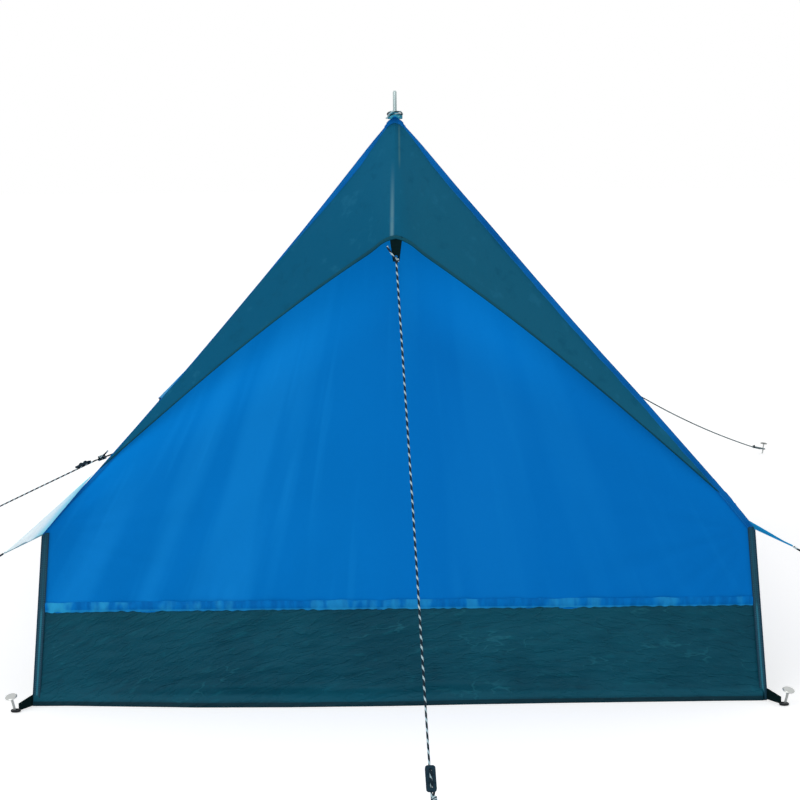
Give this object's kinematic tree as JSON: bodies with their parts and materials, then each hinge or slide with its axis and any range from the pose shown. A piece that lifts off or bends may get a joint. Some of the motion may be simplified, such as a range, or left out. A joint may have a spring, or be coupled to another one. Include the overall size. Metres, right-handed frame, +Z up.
{
  "type": "a-frame tent",
  "caption": "Low A-frame ridge tent with an upright pole at each end, turned-up tub floor, hooded rear vent, zipped doors, guy lines with line sliders, and nail pegs.",
  "frame": {"origin": "centre of the groundsheet's underside, on the ground", "axes": "+Z up, +Y along the ridge to the door end, +X to the right as seen from behind the closed rear end"},
  "size_m": [2.233, 3.698, 1.1276],
  "materials": {
    "wall_cloth": "semi-gloss coated nylon",
    "roof_cloth": "semi-gloss coated nylon",
    "hood_cloth": "semi-gloss coated nylon",
    "side_cloth": "semi-gloss coated nylon",
    "tub_cloth": "crinkled woven polyethylene",
    "band_cloth": "gathered coated nylon",
    "wing_cloth": "thin translucent nylon",
    "front_wing_cloth": "thin translucent nylon",
    "slope_binding": "bound seam",
    "corner_binding": "bound seam",
    "netting": "fine mesh",
    "webbing": "woven tape",
    "zip_tape": "woven tape with coil chain",
    "zip_metal": "satin",
    "pole_steel": "plated",
    "peg_steel": "plated",
    "eyelet_metal": "satin",
    "black_plastic": "moulded",
    "runner_plastic": "moulded",
    "cord": "braided"
  },
  "bodies": {
    "tent": {"groundsheet": "tub_cloth", "tub_rear": "tub_cloth", "tub_front": "tub_cloth", "tub_sides": "tub_cloth", "side_walls": "side_cloth", "roof_left": "roof_cloth", "roof_right": "roof_cloth", "ridge_tape": "roof_cloth", "ridge_tabs": "webbing", "ridge_eyelets": "eyelet_metal", "rear_wall": "wall_cloth", "rear_vent_net": "netting", "rear_hood_left": "hood_cloth", "rear_hood_right": "hood_cloth", "hood_tab": "webbing", "slope_tapes": "slope_binding", "corner_tapes": "corner_binding", "rear_seam_band": "band_cloth", "front_walls": "wall_cloth", "sill_zip_tape": "zip_tape", "rear_wings": "wing_cloth", "front_wings": "front_wing_cloth", "eave_tabs": "webbing", "floor_loops": "webbing", "corner_rings": "black_plastic", "side_rings": "black_plastic", "pole_feet": "black_plastic", "pole_lower": "pole_steel", "pole_middle": "pole_steel", "pole_top": "pole_steel", "door_tie_loops": "webbing", "door_toggles": "black_plastic", "guy_rear": "cord", "guy_left_mid": "cord", "guy_rear_left": "cord", "guy_rear_right": "cord", "guy_front_right": "cord"},
    "peg_corner_rear_left": {"peg_corner_rear_left": "peg_steel"},
    "peg_corner_front_left": {"peg_corner_front_left": "peg_steel"},
    "peg_corner_rear_right": {"peg_corner_rear_right": "peg_steel"},
    "peg_corner_front_right": {"peg_corner_front_right": "peg_steel"},
    "peg_rear": {"peg_rear": "peg_steel"},
    "peg_left_mid": {"peg_left_mid": "peg_steel"},
    "peg_rear_left": {"peg_rear_left": "peg_steel"},
    "peg_rear_right": {"peg_rear_right": "peg_steel"},
    "peg_front_right": {"peg_front_right": "peg_steel"},
    "runner_rear": {"runner_rear": "runner_plastic"},
    "runner_left_mid": {"runner_left_mid": "runner_plastic"},
    "runner_rear_left": {"runner_rear_left": "runner_plastic"},
    "runner_rear_right": {"runner_rear_right": "runner_plastic"},
    "door_left": {"door_left": "wall_cloth", "zip_chain_left": "zip_tape"},
    "door_right": {"door_right": "wall_cloth", "zip_chain_right": "zip_tape"},
    "zip_slider_centre": {"zip_slider_centre": "zip_metal"},
    "zip_pull_centre": {"zip_pull_centre": "zip_metal"},
    "zip_slider_right": {"zip_slider_right": "zip_metal"},
    "zip_pull_right": {"zip_pull_right": "zip_metal"},
    "zip_slider_left": {"zip_slider_left": "zip_metal"},
    "zip_pull_left": {"zip_pull_left": "zip_metal"}
  },
  "joints": [
    {"name": "peg_corner_rear_left_pull", "type": "slide", "parent": "tent", "child": "peg_corner_rear_left", "axis": [-0.1661, -0.299, 0.9397], "range_m": [0, 0.151]},
    {"name": "peg_corner_front_left_pull", "type": "slide", "parent": "tent", "child": "peg_corner_front_left", "axis": [-0.1661, 0.299, 0.9397], "range_m": [0, 0.151]},
    {"name": "peg_corner_rear_right_pull", "type": "slide", "parent": "tent", "child": "peg_corner_rear_right", "axis": [0.1661, -0.299, 0.9397], "range_m": [0, 0.151]},
    {"name": "peg_corner_front_right_pull", "type": "slide", "parent": "tent", "child": "peg_corner_front_right", "axis": [0.1661, 0.299, 0.9397], "range_m": [0, 0.151]},
    {"name": "peg_rear_pull", "type": "slide", "parent": "tent", "child": "peg_rear", "axis": [0, -0.342, 0.9397], "range_m": [0, 0.151]},
    {"name": "peg_left_mid_pull", "type": "slide", "parent": "tent", "child": "peg_left_mid", "axis": [-0.342, 0, 0.9397], "range_m": [0, 0.151]},
    {"name": "peg_rear_left_pull", "type": "slide", "parent": "tent", "child": "peg_rear_left", "axis": [-0.342, 0, 0.9397], "range_m": [0, 0.151]},
    {"name": "peg_rear_right_pull", "type": "slide", "parent": "tent", "child": "peg_rear_right", "axis": [0.342, 0, 0.9397], "range_m": [0, 0.151]},
    {"name": "peg_front_right_pull", "type": "slide", "parent": "tent", "child": "peg_front_right", "axis": [0.176, 0.2933, 0.9397], "range_m": [0, 0.151]},
    {"name": "runner_rear_slide", "type": "slide", "parent": "tent", "child": "runner_rear", "axis": [-0.0457, 0.6855, 0.7266], "range_m": [0, 0.1]},
    {"name": "runner_left_mid_slide", "type": "slide", "parent": "tent", "child": "runner_left_mid", "axis": [-0.7489, 0.5332, -0.3936], "range_m": [0, 0.1]},
    {"name": "runner_rear_left_slide", "type": "slide", "parent": "tent", "child": "runner_rear_left", "axis": [0.8744, -0.0918, 0.4765], "range_m": [0, 0.1]},
    {"name": "runner_rear_right_slide", "type": "slide", "parent": "tent", "child": "runner_rear_right", "axis": [-0.8744, -0.0918, 0.4765], "range_m": [0, 0.1]},
    {"name": "door_left_hinge", "type": "hinge", "parent": "tent", "child": "door_left", "pos_m": [-0.5, 0.95, 0.15], "axis": [0.5442, 0, 0.8389], "range_deg": [0, 130]},
    {"name": "door_right_hinge", "type": "hinge", "parent": "tent", "child": "door_right", "pos_m": [0.5, 0.95, 0.15], "axis": [0.5442, 0, -0.8389], "range_deg": [0, 130]},
    {"name": "zip_slider_centre_slide", "type": "slide", "parent": "door_right", "child": "zip_slider_centre", "axis": [0, 0, 1], "range_m": [0, 0.67]},
    {"name": "zip_pull_centre_swing", "type": "hinge", "parent": "zip_slider_centre", "child": "zip_pull_centre", "pos_m": [0.004, 0.9548, 0.18], "axis": [1, 0, 0], "range_deg": [0, 160]},
    {"name": "zip_slider_right_slide", "type": "slide", "parent": "door_right", "child": "zip_slider_right", "axis": [1, 0, 0], "range_m": [0, 0.42]},
    {"name": "zip_pull_right_swing", "type": "hinge", "parent": "zip_slider_right", "child": "zip_pull_right", "pos_m": [0.03, 0.9548, 0.1545], "axis": [0, 0, 1], "range_deg": [0, 160]},
    {"name": "zip_slider_left_slide", "type": "slide", "parent": "door_left", "child": "zip_slider_left", "axis": [-1, 0, 0], "range_m": [0, 0.42]},
    {"name": "zip_pull_left_swing", "type": "hinge", "parent": "zip_slider_left", "child": "zip_pull_left", "pos_m": [-0.03, 0.9548, 0.1545], "axis": [0, 0, -1], "range_deg": [0, 160]}
  ]
}
